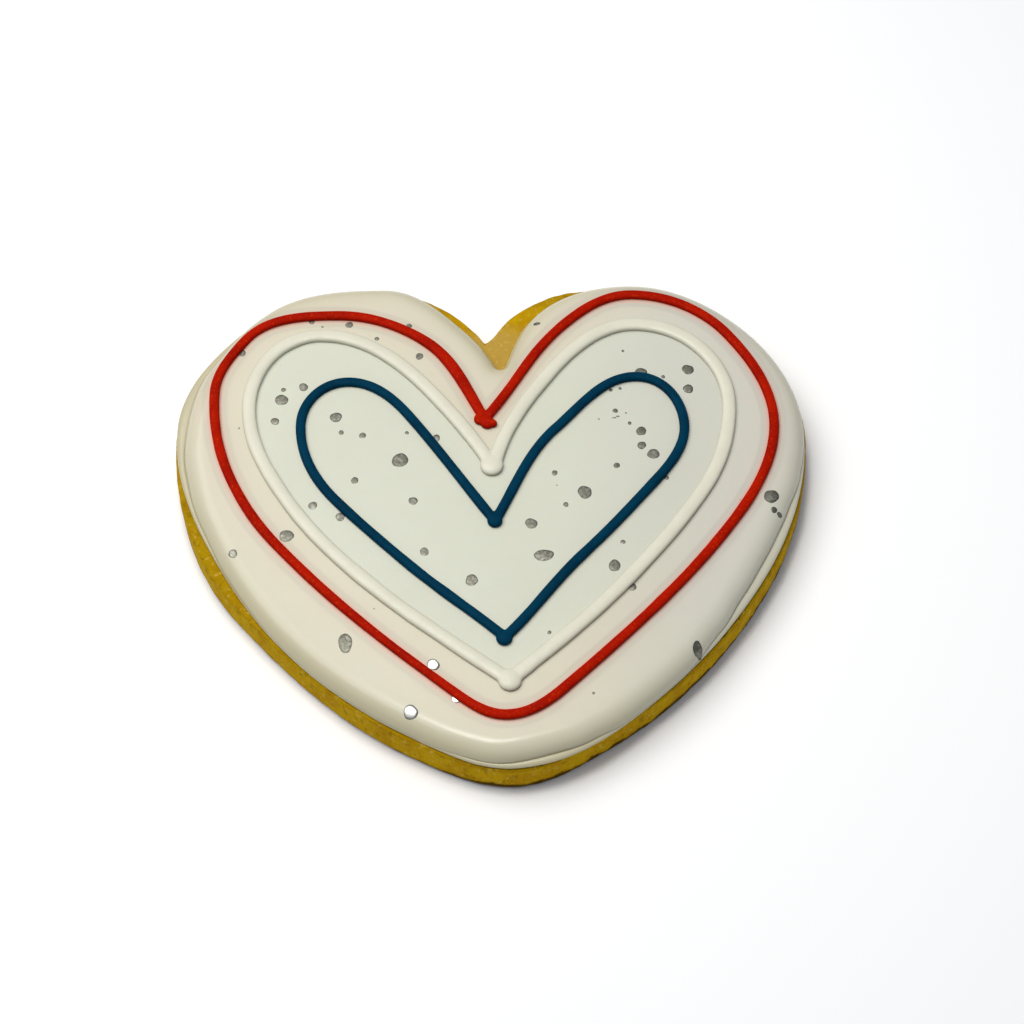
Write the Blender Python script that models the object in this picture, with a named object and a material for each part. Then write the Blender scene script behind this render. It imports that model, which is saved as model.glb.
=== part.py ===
"""A heart-shaped sugar cookie with a flood of white icing and three piped icing hearts.

The heart lies flat on its back, tip towards -Y and lobes towards +Y. The origin is under
the middle of its box, on the surface it rests on.
"""

import math
import random

import bmesh
import bpy
from mathutils import Vector

MM = 0.001

# Clear space between pieces that touch on the real cookie
GAP = 0.3 * MM

COOKIE_HEIGHT = 6.0 * MM
ICING_HEIGHT = 2.3 * MM

# Icing's edge: a thin lip of piped outline, a groove, then the rounded edge of the flood.
# The lip has this height, and the groove this depth, where the lip is widest.
WIDEST_LIP = 1.4 * MM
LIP_HEIGHT = 0.45 * MM
GROOVE_DEPTH = 0.2 * MM
GROOVE_WIDTH = 0.25 * MM
FLOOD_EDGE = 3.0 * MM

# Piped beads, and the drops where their strokes start and stop
RED_WIDTH = 1.5 * MM
RED_HEIGHT = 0.6 * MM
RED_DROP_HEIGHT = 0.66 * MM
WHITE_WIDTH = 2.15 * MM
WHITE_HEIGHT = 0.65 * MM
WHITE_DROP_HEIGHT = 0.82 * MM
BLUE_WIDTH = 1.5 * MM
BLUE_HEIGHT = 0.6 * MM
BLUE_DROP_HEIGHT = 0.7 * MM

# Distance between the stations along an outline and along a piped line, and the number of
# points that each arc is measured with first
OUTLINE_STEP = 1.8 * MM
PIPING_STEP = 2.4 * MM
ARC_POINTS = 24

# Edges that fold more than this stay sharp in the shading
SHARP_ANGLE = math.radians(40)

BAKED_DOUGH = (0.42, 0.26, 0.02)
WHITE_ICING = (0.62, 0.58, 0.45)
RED_ICING = (0.43, 0.005, 0.001)
PIPED_WHITE = (0.65, 0.63, 0.5)
BLUE_ICING = (0.0003, 0.036, 0.075)
DOUGH_ROUGHNESS = 0.9
FLOOD_ROUGHNESS = 0.3
PIPED_ROUGHNESS = 0.45

# Landmarks of each curve seen from above: x and y in millimetres and heading in degrees.
# Each heart runs anticlockwise: from the cleft over the left lobe to the tip, and back up
# over the right lobe. The hearts were cut and piped by hand, so no two halves match.
COOKIE_OUTLINE = [
    (-1.0, 31.5, 124),
    (-6.3, 37.0, 144),
    (-18.0, 41.15, 180),
    (-35.2, 36.0, 219),
    (-47.7, 14.5, 270),
    (-37.1, -14.9, 312),
    (-11.7, -36.0, 334),
    (2.9, -40.75, 360),
    (17.3, -34.8, 392),
    (37.2, -15.6, 415),
    (47.6, 13.8, 450),
    (39.3, 32.9, 494),
    (20.2, 41.5, 540),
    (8.05, 39.7, 566),
    (3.05, 36.45, 580),
    (0.55, 33.3, 598),
    (-1.0, 31.5, 588),
]
ICING_OUTLINE = [
    (0.7, 26.1, 118),
    (-4.5, 33.0, 135),
    (-16.7, 40.4, 180),
    (-34.9, 35.8, 220),
    (-47.3, 14.8, 270),
    (-37.0, -12.6, 303),
    (-11.6, -35.2, 333),
    (2.6, -40.2, 360),
    (17.3, -34.8, 396),
    (36.6, -15.3, 415),
    (47.1, 14.2, 450),
    (38.8, 33.0, 495),
    (20.4, 41.4, 540),
    (6.0, 35.0, 591),
    (2.0, 26.2, 610),
    (1.2, 25.7, 540),
    (0.7, 26.1, 478),
]
RED_HEART = [
    (-0.9, 15.2, 120),
    (-9.5, 28.8, 140),
    (-24.0, 34.1, 180),
    (-37.7, 29.5, 234),
    (-41.7, 20.0, 270),
    (-31.1, -6.2, 312),
    (-5.6, -29.3, 322),
    (2.2, -33.2, 360),
    (10.3, -29.2, 403),
    (32.0, -6.6, 412),
    (42.3, 15.3, 450),
    (36.1, 30.6, 487),
    (21.4, 38.0, 540),
    (11.6, 33.1, 583),
    (-0.9, 15.4, 593),
]
WHITE_LEFT = [
    (0.1, 7.2, 120),
    (-9.2, 20.3, 130),
    (-26.0, 30.4, 180),
    (-36.4, 18.0, 270),
    (-29.7, 0.9, 304),
    (-12.0, -17.1, 321),
    (2.7, -27.9, 324),
]
WHITE_RIGHT = [
    (0.4, 6.8, 80),
    (9.0, 23.9, 53),
    (21.8, 32.5, 0),
    (35.7, 18.2, 270),
    (29.8, 0.9, 235),
    (11.6, -20.1, 223),
    (2.8, -28.0, 223),
]
BLUE_LEFT = [
    (0.5, -2.1, 126),
    (-12.4, 16.0, 128),
    (-21.6, 21.9, 180),
    (-28.5, 14.3, 270),
    (-23.0, 1.5, 313),
    (-10.6, -10.5, 318),
    (2.1, -21.2, 318),
]
BLUE_RIGHT = [
    (0.6, -2.2, 62),
    (9.6, 13.7, 45),
    (21.8, 22.9, 0),
    (28.85, 14.2, 270),
    (23.7, 4.0, 231),
    (12.9, -8.3, 227),
    (2.1, -21.2, 225),
]

# Drops of icing where a stroke starts or stops: x, y and radius in millimetres
RED_KNOT = [(-1.7, 15.3, 0.95), (-0.6, 14.7, 1.1), (0.3, 14.5, 0.6)]
WHITE_DROPS = [(0.1, 7.2, 1.75), (2.8, -27.9, 1.7)]
BLUE_DROPS = [(0.6, -2.2, 1.2), (2.0, -21.3, 1.3)]
DROP_SIDES = 12
DROP_LIFT = 0.02 * MM

# Width of the icing's lip in millimetres at bearings round the heart, in degrees from +X
LIP_WIDTHS = [
    (0, 0.8),
    (8, 0.35),
    (17, 0.08),
    (55, 0.08),
    (68, 0.35),
    (82, 0.2),
    (95, 0.08),
    (135, 0.1),
    (150, 0.9),
    (160, 1.4),
    (171, 0.75),
    (182, 0.4),
    (195, 0.08),
    (255, 0.08),
    (268, 0.35),
    (282, 0.8),
    (292, 0.45),
    (300, 0.08),
    (318, 0.08),
    (330, 0.45),
    (340, 0.9),
    (347, 1.05),
    (354, 1.0),
    (360, 0.8),
]

# Cookie's wall, bottom to top: inset from the outline in millimetres, share of the height
COOKIE_WALL = [
    (0.75, 0.0),
    (0.2, 0.06),
    (0.0, 0.2),
    (0.05, 0.55),
    (0.1, 0.87),
    (0.22, 0.96),
    (0.5, 1.0),
]
CRAG_DEPTH = 0.12 * MM
CRAG_SEED = 7

# Icing's lip, bottom to crest: inset in millimetres, inset in lip widths, share of its height
LIP_PROFILE = [(0.12, 0.0, 0.0), (0.0, 0.0, 0.4), (0.1, 0.1, 0.85), (0.15, 0.5, 1.0)]

# Places across the flood's rounded edge, as shares of its width
FLOOD_STATIONS = [0.0, 0.04, 0.14, 0.3, 0.5, 0.75, 1.0]

# Half of a piped bead, foot to crown: shares of the half width and of the height.
# A drop's crown is flattened to a small round face.
BEAD_PROFILE = [(0.86, 0.0), (1.0, 0.38), (0.74, 0.8), (0.0, 1.0)]
DROP_PROFILE = BEAD_PROFILE[:-1] + [(0.35, 0.96)]


def arc_points(start, end, count):
    """Points of a Bezier arc between two landmarks, its handles as long as a circle's."""
    first = Vector(start[:2]) * MM
    last = Vector(end[:2]) * MM
    turn = math.radians(end[2] - start[2] + 180) % math.tau - math.pi
    handle = (last - first).length / 3 / math.cos(turn / 4) ** 2
    start_course = math.radians(start[2])
    end_course = math.radians(end[2])
    leaving = first + handle * Vector((math.cos(start_course), math.sin(start_course)))
    arriving = last - handle * Vector((math.cos(end_course), math.sin(end_course)))
    points = []
    for index in range(count):
        t = index / count
        s = 1 - t
        points.append(s**3 * first + 3 * s * s * t * leaving + 3 * s * t * t * arriving + t**3 * last)
    return points


def curve_through(landmarks, step):
    """Evenly spaced points of the smooth curve through the landmarks, both ends included."""
    fine = []
    for start, end in zip(landmarks, landmarks[1:]):
        fine += arc_points(start, end, ARC_POINTS)
    fine.append(Vector(landmarks[-1][:2]) * MM)
    travelled = [0.0]
    for before, after in zip(fine, fine[1:]):
        travelled.append(travelled[-1] + (after - before).length)
    count = round(travelled[-1] / step)
    points = []
    place = 0
    for index in range(count + 1):
        target = travelled[-1] * index / count
        while place < len(fine) - 2 and travelled[place + 1] < target:
            place += 1
        share = (target - travelled[place]) / (travelled[place + 1] - travelled[place])
        points.append(fine[place].lerp(fine[place + 1], share))
    return points


def side_directions(points, closed):
    """Unit vectors to the right of travel, which is outward on an anticlockwise outline."""
    directions = []
    for index in range(len(points)):
        before = points[index - 1] if closed or index > 0 else points[0]
        after = points[(index + 1) % len(points)] if closed or index + 1 < len(points) else points[-1]
        along = (after - before).normalized()
        directions.append(Vector((along.y, -along.x)))
    return directions


def new_piece(name, bm, colour, roughness):
    """Object of a finished bmesh, with a material of its own and smooth rounded faces."""
    bmesh.ops.recalc_face_normals(bm, faces=bm.faces[:])
    mesh = bpy.data.meshes.new(name)
    bm.to_mesh(mesh)
    bm.free()
    mesh.shade_smooth()
    mesh.set_sharp_from_angle(angle=SHARP_ANGLE)
    material = bpy.data.materials.new(name)
    material.use_nodes = True
    shader = material.node_tree.nodes["Principled BSDF"]
    shader.inputs["Base Color"].default_value = (*colour, 1)
    shader.inputs["Roughness"].default_value = roughness
    mesh.materials.append(material)
    piece = bpy.data.objects.new(name, mesh)
    bpy.context.scene.collection.objects.link(piece)
    return piece


def stack_rings(bm, rings, closed):
    """Skin between rings of points, bottom to top or end to end, with a face on both ends."""
    levels = [[bm.verts.new(point) for point in ring] for ring in rings]
    for lower, upper in zip(levels, levels[1:]):
        for index in range(len(lower) if closed else len(lower) - 1):
            after = (index + 1) % len(lower)
            bm.faces.new((lower[index], lower[after], upper[after], upper[index]))
    bm.faces.new(levels[0])
    bm.faces.new(levels[-1])


def lip_width(point):
    """Width of the icing's lip at a place on its outline, blended between the bearings."""
    bearing = math.degrees(math.atan2(point.y, point.x)) % 360
    for (low, narrow), (high, wide) in zip(LIP_WIDTHS, LIP_WIDTHS[1:]):
        if low <= bearing <= high:
            share = (1 - math.cos(math.pi * (bearing - low) / (high - low))) / 2
            return (narrow + (wide - narrow) * share) * MM
    return LIP_WIDTHS[0][1] * MM


def lip_height(width):
    """Height of a lip above the cookie, which grows with the square root of its width."""
    return LIP_HEIGHT * math.sqrt(width / WIDEST_LIP)


def flood_height(share, width):
    """Height of the flood above the cookie at a share of its rounded edge.

    A quarter ellipse that rises from the groove inside a lip of this width."""
    groove = lip_height(width) - GROOVE_DEPTH * width / WIDEST_LIP
    return groove + (ICING_HEIGHT - groove) * math.sqrt(1 - (1 - min(share, 1.0)) ** 2)


def icing_top(point, outline):
    """Height of the icing's surface under a point of a piped line."""
    nearest = min(outline, key=lambda edge: (edge - point).length_squared)
    width = lip_width(nearest)
    inside = (nearest - point).length - width - GROOVE_WIDTH
    return COOKIE_HEIGHT + GAP + flood_height(max(inside, 0.0) / FLOOD_EDGE, width)


def cookie():
    """Baked cookie: flat top and underside, and a wall that swells and is a little uneven."""
    outline = curve_through(COOKIE_OUTLINE, OUTLINE_STEP)[:-1]
    outward = side_directions(outline, closed=True)
    dice = random.Random(CRAG_SEED)
    rings = []
    for level, (inset, share) in enumerate(COOKIE_WALL):
        ring = []
        for place, side in zip(outline, outward):
            crag = dice.uniform(0, CRAG_DEPTH) if 0 < level < len(COOKIE_WALL) - 1 else 0
            spot = place - side * (inset * MM + crag)
            ring.append((spot.x, spot.y, COOKIE_HEIGHT * share))
        rings.append(ring)
    bm = bmesh.new()
    stack_rings(bm, rings, closed=True)
    return new_piece("cookie", bm, BAKED_DOUGH, DOUGH_ROUGHNESS)


def icing(outline):
    """White icing: the lip of the piped outline, a groove, the flood's round edge, a flat top."""
    inward = [-side for side in side_directions(outline, closed=True)]
    base = COOKIE_HEIGHT + GAP
    widths = [lip_width(place) for place in outline]
    rings = []
    for inset, share, rise in LIP_PROFILE:
        ring = []
        for place, side, width in zip(outline, inward, widths):
            spot = place + side * (inset * MM + share * width)
            ring.append((spot.x, spot.y, base + rise * lip_height(width)))
        rings.append(ring)
    for share in FLOOD_STATIONS:
        ring = []
        for place, side, width in zip(outline, inward, widths):
            spot = place + side * (width + GROOVE_WIDTH + share * FLOOD_EDGE)
            ring.append((spot.x, spot.y, base + flood_height(share, width)))
        rings.append(ring)
    bm = bmesh.new()
    stack_rings(bm, rings, closed=True)
    return new_piece("icing", bm, WHITE_ICING, FLOOD_ROUGHNESS)


def bead_section():
    """Whole section of a bead, left foot over the crown to the right foot."""
    left = [(-across, up) for across, up in BEAD_PROFILE]
    return left + BEAD_PROFILE[-2::-1]


def piped_stroke(name, landmarks, width, height, colour, outline):
    """One stroke of the piping bag: the bead's section swept along its curve on the icing."""
    path = curve_through(landmarks, PIPING_STEP)
    sides = side_directions(path, closed=False)
    rings = []
    for place, side in zip(path, sides):
        ring = []
        for across, up in bead_section():
            spot = place + side * (across * width / 2)
            ring.append((spot.x, spot.y, icing_top(spot, outline) + GAP + up * height))
        rings.append(ring)
    bm = bmesh.new()
    stack_rings(bm, rings, closed=True)
    return new_piece(name, bm, colour, PIPED_ROUGHNESS)


def piped_drop(name, x, y, radius, height, colour, outline):
    """A drop left where the tip of the bag stops: the bead's section turned about its middle."""
    middle = Vector((x, y)) * MM
    base = icing_top(middle, outline) + GAP + DROP_LIFT
    rings = []
    for across, up in DROP_PROFILE:
        ring = []
        for index in range(DROP_SIDES):
            angle = math.tau * index / DROP_SIDES
            spot = middle + across * radius * MM * Vector((math.cos(angle), math.sin(angle)))
            ring.append((spot.x, spot.y, base + up * height))
        rings.append(ring)
    bm = bmesh.new()
    stack_rings(bm, rings, closed=True)
    return new_piece(name, bm, colour, PIPED_ROUGHNESS)


def joined(name, parts, colour):
    """The strokes and drops of one colour, merged into a single solid."""
    body, others = parts[0], parts[1:]
    group = bpy.data.collections.new(name + " parts")
    for other in others:
        bpy.context.scene.collection.objects.unlink(other)
        group.objects.link(other)
    bpy.context.scene.collection.children.link(group)
    merge = body.modifiers.new("Merge", "BOOLEAN")
    merge.operation = "UNION"
    merge.operand_type = "COLLECTION"
    merge.collection = group
    merge.solver = "EXACT"
    merge.use_self = True
    bpy.context.view_layer.update()
    evaluated = body.evaluated_get(bpy.context.evaluated_depsgraph_get())
    bm = bmesh.new()
    bm.from_mesh(evaluated.to_mesh())
    for part in parts:
        bpy.data.objects.remove(part)
    bpy.data.collections.remove(group)
    return new_piece(name, bm, colour, PIPED_ROUGHNESS)


def piped_heart(name, strokes, drops, size, colour, outline):
    """A piped heart of one colour: its strokes, and the drops where they start and stop."""
    width, height, drop_height = size
    parts = []
    for landmarks in strokes:
        parts.append(piped_stroke(name + " stroke", landmarks, width, height, colour, outline))
    for x, y, radius in drops:
        parts.append(piped_drop(name + " drop", x, y, radius, drop_height, colour, outline))
    return joined(name, parts, colour)


def build():
    """The whole cookie, each piece an object of its own."""
    for item in list(bpy.data.objects):
        bpy.data.objects.remove(item)
    cookie()
    outline = curve_through(ICING_OUTLINE, OUTLINE_STEP)[:-1]
    icing(outline)
    red_size = (RED_WIDTH, RED_HEIGHT, RED_DROP_HEIGHT)
    piped_heart("red_line", [RED_HEART], RED_KNOT, red_size, RED_ICING, outline)
    white_size = (WHITE_WIDTH, WHITE_HEIGHT, WHITE_DROP_HEIGHT)
    white_strokes = [WHITE_LEFT, WHITE_RIGHT]
    piped_heart("white_line", white_strokes, WHITE_DROPS, white_size, PIPED_WHITE, outline)
    blue_size = (BLUE_WIDTH, BLUE_HEIGHT, BLUE_DROP_HEIGHT)
    blue_strokes = [BLUE_LEFT, BLUE_RIGHT]
    piped_heart("blue_line", blue_strokes, BLUE_DROPS, blue_size, BLUE_ICING, outline)


build()
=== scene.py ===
import bpy
import numpy as np
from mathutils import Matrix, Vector


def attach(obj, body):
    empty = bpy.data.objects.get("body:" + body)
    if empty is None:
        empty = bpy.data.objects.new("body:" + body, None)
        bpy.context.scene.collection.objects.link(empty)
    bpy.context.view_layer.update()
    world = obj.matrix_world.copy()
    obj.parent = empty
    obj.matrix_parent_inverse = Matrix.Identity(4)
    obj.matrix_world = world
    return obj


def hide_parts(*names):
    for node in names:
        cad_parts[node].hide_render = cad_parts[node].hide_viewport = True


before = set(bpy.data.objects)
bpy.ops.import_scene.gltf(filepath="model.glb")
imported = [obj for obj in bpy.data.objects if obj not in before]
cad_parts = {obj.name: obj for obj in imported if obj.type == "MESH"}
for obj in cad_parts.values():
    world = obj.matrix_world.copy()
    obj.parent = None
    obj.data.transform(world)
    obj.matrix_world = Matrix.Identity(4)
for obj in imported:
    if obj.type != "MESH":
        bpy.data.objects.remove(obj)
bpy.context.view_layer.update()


# The baked cookie. Sweet dough is rolled 6 mm thick, cut with a heart cutter and baked until
# it is golden. The wall keeps the cutter's line and shows the crumb, the edges are a little
# rounded, and the underside, which lay on the hot tray, is flat and browner.
MM = 0.001
COOKIE_HEIGHT = 6.0
COOKIE_TOP_ROUND = (0.4, 0.8)
COOKIE_FOOT_ROUND = 0.75
COOKIE_LEAN = 0.1
HEART_MIDDLE = (0.0, -3.0)
CLEFT_SPOT = (0.8, 28.5, 6.0)
CRACK_SPOT = (31.6, -21.6, 3.4)
CRACK_SIZE = (0.4, 0.4, 0.9)
CRACK_DEPTH = 0.4
PIT_DEPTH = 0.16
WALL_DEPTH = 0.06
TOP_DEPTH = 0.12

# The crumb's lumps: size and depth in millimetres, how much flatter than wide, and a seed
CRUMB_LUMPS = [(6.0, 0.025, 1.0, 11), (1.7, 0.045, 1.6, 12), (0.8, 0.04, 1.5, 13)]

GOLDEN = (0.51, 0.315, 0.003)
TOASTED = (0.43, 0.235, 0.002)
PALE_FLECK = (0.62, 0.43, 0.08)
PALE_TOP = (0.455, 0.288, 0.057)
OLIVE_AND_PAINTED_SHADE = (0.22, 0.125, 0.002)
BROWN_AND_PAINTED_SHADE = (0.065, 0.034, 0.002)

# Landmarks of a line seen from above: x and y in millimetres and heading in degrees. A
# heart runs anticlockwise from its cleft, over the left lobe to the tip and back up the right.
COOKIE_OUTLINE = [
    (-1.0, 31.5, 124),
    (-6.3, 37.0, 144),
    (-18.0, 41.15, 180),
    (-35.2, 36.0, 219),
    (-47.7, 14.5, 270),
    (-37.1, -14.9, 312),
    (-11.7, -36.0, 334),
    (2.9, -40.75, 360),
    (17.3, -34.8, 392),
    (37.2, -15.6, 415),
    (47.6, 13.8, 450),
    (39.3, 32.9, 494),
    (20.2, 41.5, 540),
    (8.05, 39.7, 566),
    (3.05, 36.45, 580),
    (0.55, 33.3, 598),
    (-1.0, 31.5, 588),
]


ARC_STEPS = 200
FINE_STEP = 0.05
COURSE_REACH = 15
COURSE_SPREAD = 6.0


def run_of(landmarks, spacing, bend_room, closed):
    """Points along a line given by landmarks, and the unit directions to its right.

    Between two landmarks runs a Bezier arc, whose handles are a third of the chord over the
    squared cosine of a quarter of the turn. The directions are averaged over half a
    millimetre. The points are even in travelled length plus bend_room times the angle
    turned, so that they crowd where the line bends."""
    marks = np.array(landmarks, float)
    start, end = marks[:-1, None, :2], marks[1:, None, :2]
    heading = np.radians(marks[:, 2])[:, None, None]
    course = np.concatenate([np.cos(heading), np.sin(heading)], axis=2)
    turn = (heading[1:] - heading[:-1] + np.pi) % (2 * np.pi) - np.pi
    handle = np.linalg.norm(end - start, axis=2, keepdims=True) / 3 / np.cos(turn / 4) ** 2
    leaving = start + handle * course[:-1]
    arriving = end - handle * course[1:]
    t = (np.arange(ARC_STEPS) / ARC_STEPS)[None, :, None]
    s = 1 - t
    arcs = s**3 * start + 3 * s * s * t * leaving + 3 * s * t * t * arriving + t**3 * end
    fine = np.concatenate([arcs.reshape(-1, 2), marks[-1:, :2]])
    length = np.concatenate([[0], np.cumsum(np.linalg.norm(np.diff(fine, axis=0), axis=1))])
    even = np.linspace(0, length[-1], int(length[-1] / FINE_STEP) + 1)
    fine = np.stack([np.interp(even, length, fine[:, axis]) for axis in (0, 1)], axis=1)
    along = np.diff(fine, axis=0)
    along = along / np.linalg.norm(along, axis=1, keepdims=True)
    reach = COURSE_REACH
    padded = np.pad(along, ((reach, reach), (0, 0)), mode="wrap" if closed else "edge")
    bell = np.exp(-((np.arange(-reach, reach + 1) / COURSE_SPREAD) ** 2))
    course = np.stack([np.convolve(padded[:, axis], bell, "valid") for axis in (0, 1)], axis=1)
    course = course / np.linalg.norm(course, axis=1, keepdims=True)
    turned = np.arccos(np.clip((course[1:] * course[:-1]).sum(axis=1), -1, 1))
    measure = np.concatenate([[0], np.cumsum(even[1] + bend_room * np.append(turned, 0))])
    count = int(round(measure[-1] / spacing))
    stops = np.linspace(0, measure[-1], count + 1)
    if closed:
        stops = stops[:-1]
    course = np.concatenate([course, course[:1] if closed else course[-1:]])
    points = np.stack([np.interp(stops, measure, fine[:, axis]) for axis in (0, 1)], axis=1)
    course = np.stack([np.interp(stops, measure, course[:, axis]) for axis in (0, 1)], axis=1)
    course = course / np.linalg.norm(course, axis=1, keepdims=True)
    return points, np.stack([course[:, 1], -course[:, 0]], axis=1)


LATTICE = 32


def lumps(places, size, seed):
    """Smooth uneven relief from -1 to 1 at places in millimetres.

    Random numbers stand on a cubic lattice, size apart, and are blended between the eight
    nearest with weights t*t*(3-2*t) along each axis. The lattice repeats after its side."""
    lattice = np.random.default_rng(seed).uniform(-1, 1, (LATTICE, LATTICE, LATTICE))
    cell = np.floor(places / size).astype(int)
    t = places / size - cell
    t = t * t * (3 - 2 * t)
    relief = np.zeros(places.shape[:-1])
    for corner in np.ndindex(2, 2, 2):
        near = (cell + corner) % LATTICE
        share = np.where(corner, t, 1 - t).prod(axis=-1)
        relief += share * lattice[near[..., 0], near[..., 1], near[..., 2]]
    return relief


def skin_over(name, rings, first_pole, last_pole):
    """Closed mesh over rings of points (ring, place, xyz) in millimetres.

    Every cell of the grid is a face, and the first and last rings are closed by fans of
    triangles to their poles. Places run anticlockwise seen from the last pole."""
    count, around = rings.shape[:2]
    points = np.concatenate([rings.reshape(-1, 3), [first_pole], [last_pole]]) * MM
    here = np.arange(around)
    after = (here + 1) % around
    low = (np.arange(count - 1) * around)[:, None]
    cells = np.stack([low + here, low + after, low + around + after, low + around + here], axis=-1)
    bottom = np.stack([np.full(around, count * around), after, here], axis=-1)
    last = (count - 1) * around
    top = np.stack([last + here, last + after, np.full(around, count * around + 1)], axis=-1)
    mesh = bpy.data.meshes.new(name)
    mesh.from_pydata(points.tolist(), [], cells.reshape(-1, 4).tolist() + bottom.tolist() + top.tolist())
    mesh.shade_smooth()
    piece = bpy.data.objects.new(name, mesh)
    bpy.context.scene.collection.objects.link(piece)
    return piece


def give(piece, attribute, values):
    """Stores one number for each vertex of a piece, which its material reads by name."""
    store = piece.data.attributes.new(attribute, "FLOAT", "POINT")
    store.data.foreach_set("value", np.asarray(values, np.float32).ravel())


def recipe(name, sockets):
    """A new material with the named sockets of its shader set to fixed values."""
    material = bpy.data.materials.new(name)
    material.use_nodes = True
    shader = material.node_tree.nodes["Principled BSDF"]
    for socket, value in sockets.items():
        shader.inputs[socket].default_value = value
    return material


def add(material, kind, inputs, output=0, **settings):
    """Adds one node to a material and returns one of its outputs.

    Each input is named or numbered, and holds a value or another node's output."""
    node = material.node_tree.nodes.new(kind)
    for setting, value in settings.items():
        setattr(node, setting, value)
    for socket, value in inputs.items():
        if isinstance(value, bpy.types.NodeSocket):
            material.node_tree.links.new(value, node.inputs[socket])
        else:
            node.inputs[socket].default_value = value
    return node.outputs[output]


def place_in(material):
    """The place on the piece, in metres."""
    return add(material, "ShaderNodeTexCoord", {}, "Object")


def grain(material, size, detail=2.0, rough=0.5, squash=1.0):
    """Cloudy noise from 0 to 1 whose grains are about size millimetres across.

    The grains are squash times flatter than wide."""
    where = add(material, "ShaderNodeMapping", {"Vector": place_in(material), "Scale": (1, 1, squash)})
    inputs = {"Vector": where, "Scale": 1000 / size, "Detail": detail, "Roughness": rough}
    return add(material, "ShaderNodeTexNoise", inputs, "Fac")


def between(material, value, low, high, at_low=0.0, at_high=1.0):
    """Runs smoothly from at_low to at_high as value goes from low to high."""
    inputs = {"Value": value, "From Min": low, "From Max": high, "To Min": at_low, "To Max": at_high}
    return add(material, "ShaderNodeMapRange", inputs, interpolation_type="SMOOTHSTEP")


def tinted(material, share, colour, other):
    """Colour turned to other by a share from 0 to 1."""
    inputs = {"Factor": share}
    for socket, value in ((6, colour), (7, other)):
        inputs[socket] = value if isinstance(value, bpy.types.NodeSocket) else (*value, 1)
    return add(material, "ShaderNodeMix", inputs, 2, data_type="RGBA")


def sized(material, kind, first, second):
    """One sum or product of two numbers or outputs."""
    return add(material, "ShaderNodeMath", {0: first, 1: second}, operation=kind)


def along_axis(material, axis):
    """A place's coordinate along X, Y or Z, in metres."""
    return add(material, "ShaderNodeSeparateXYZ", {0: place_in(material)}, axis)


def stored(material, attribute):
    """The number that give() stored on the piece's vertices."""
    return add(material, "ShaderNodeAttribute", {}, "Fac", attribute_name=attribute)


def colour_with(material, colour):
    """Links a colour to the shader."""
    shader = material.node_tree.nodes["Principled BSDF"]
    material.node_tree.links.new(colour, shader.inputs["Base Color"])


def rough_with(material, amount):
    """Links a varying roughness to the shader."""
    shader = material.node_tree.nodes["Principled BSDF"]
    material.node_tree.links.new(amount, shader.inputs["Roughness"])


def relief_with(material, height, depth):
    """Bumps the shader's normals by a height from 0 to 1 that stands for depth millimetres."""
    shader = material.node_tree.nodes["Principled BSDF"]
    normal = add(material, "ShaderNodeBump", {"Height": height, "Distance": depth * MM, "Strength": 1.0})
    material.node_tree.links.new(normal, shader.inputs["Normal"])


cookie_line, cookie_side = run_of(COOKIE_OUTLINE, 0.34, 0.6, closed=True)


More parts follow.
